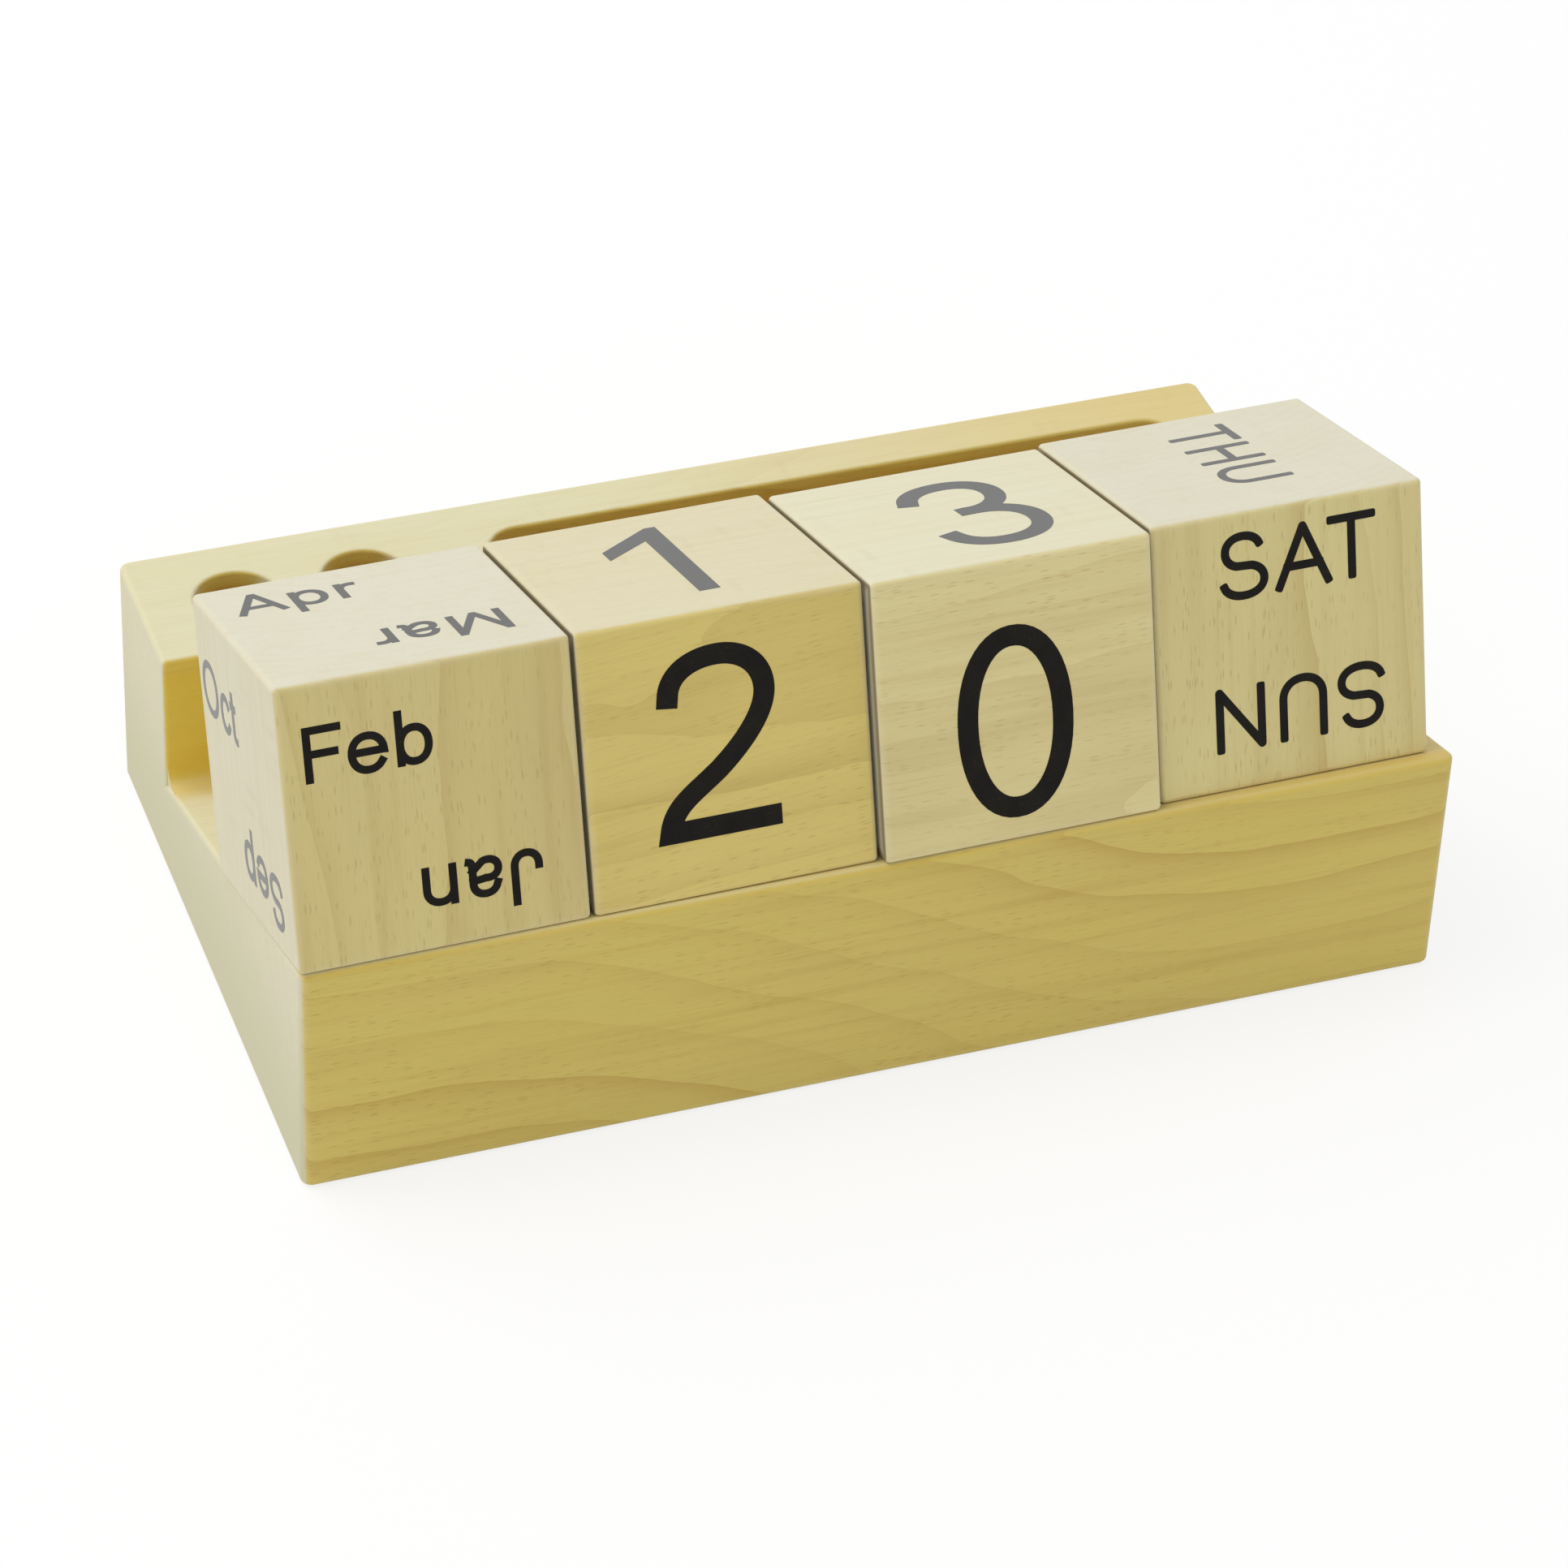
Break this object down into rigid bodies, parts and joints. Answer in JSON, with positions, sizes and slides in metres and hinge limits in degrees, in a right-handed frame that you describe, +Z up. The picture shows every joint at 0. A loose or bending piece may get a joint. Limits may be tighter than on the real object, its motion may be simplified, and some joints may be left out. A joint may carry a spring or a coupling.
{
  "type": "perpetual desk calendar",
  "caption": "Wooden desk calendar: loose cubes showing month, date and weekday lean back on the sloping seat of a solid block that also has pen holes and a card slot behind them.",
  "frame": {"origin": "middle of the block's footprint, on the surface it stands on", "axes": "+X along the row from the month cube to the weekday cube, +Y from the front to the back, +Z up"},
  "size_m": [0.1673, 0.0965, 0.0761],
  "materials": {
    "block_wood": "sanded pale hardwood, unvarnished",
    "month_cube_wood": "sanded pale hardwood, unvarnished",
    "date_cube_wood": "sanded pale hardwood, unvarnished",
    "weekday_cube_wood": "sanded pale hardwood, unvarnished",
    "print_ink": "thin matte printing ink on the cube faces"
  },
  "bodies": {
    "block": {"holder_block": "block_wood"},
    "month": {"month_cube": "month_cube_wood"},
    "date_tens": {"date_tens_cube": "date_cube_wood"},
    "date_units": {"date_units_cube": "date_cube_wood"},
    "weekday": {"weekday_cube": "weekday_cube_wood"}
  },
  "joints": [
    {"name": "month_lift", "type": "slide", "parent": "block", "child": "month", "axis": [0, 0.2924, 0.9563], "range_m": [0, 0.06]},
    {"name": "date_tens_lift", "type": "slide", "parent": "block", "child": "date_tens", "axis": [0, 0.2924, 0.9563], "range_m": [0, 0.06]},
    {"name": "date_units_lift", "type": "slide", "parent": "block", "child": "date_units", "axis": [0, 0.2924, 0.9563], "range_m": [0, 0.06]},
    {"name": "weekday_lift", "type": "slide", "parent": "block", "child": "weekday", "axis": [0, 0.2924, 0.9563], "range_m": [0, 0.06]}
  ]
}
